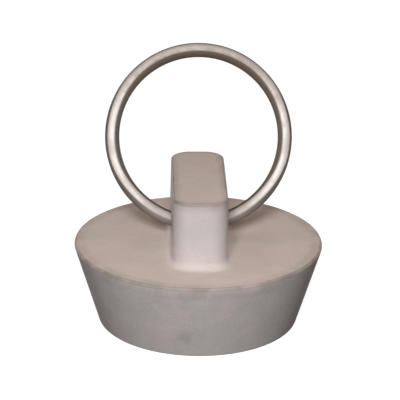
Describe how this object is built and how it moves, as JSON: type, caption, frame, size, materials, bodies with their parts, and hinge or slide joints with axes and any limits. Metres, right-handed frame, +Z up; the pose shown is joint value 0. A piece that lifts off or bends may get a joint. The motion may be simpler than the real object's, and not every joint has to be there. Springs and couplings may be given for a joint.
{
  "type": "drain stopper",
  "caption": "Tapered rubber drain stopper, cored from below, with a bar-shaped ear on its flat top and a wire pull ring that swings in a hole through the ear.",
  "frame": {"origin": "middle of the foot, on the surface that the stopper stands on", "axes": "+Z up through the plug and the ear, X along the hole in the ear, -Y to the front, so the ring leans back towards +Y"},
  "size_m": [0.038, 0.038, 0.0414],
  "materials": {
    "rubber": "pale warm grey moulded rubber, soft matte",
    "ring_wire": "satin nickel-plated steel wire"
  },
  "bodies": {
    "plug": {"rubber_plug": "rubber"},
    "ring": {"pull_ring": "ring_wire"}
  },
  "joints": [
    {"name": "ring_swing", "type": "hinge", "parent": "plug", "child": "ring", "pos_m": [0, 0, 0.0158], "axis": [1, 0, 0], "range_deg": [-77.5, 117.5]}
  ]
}
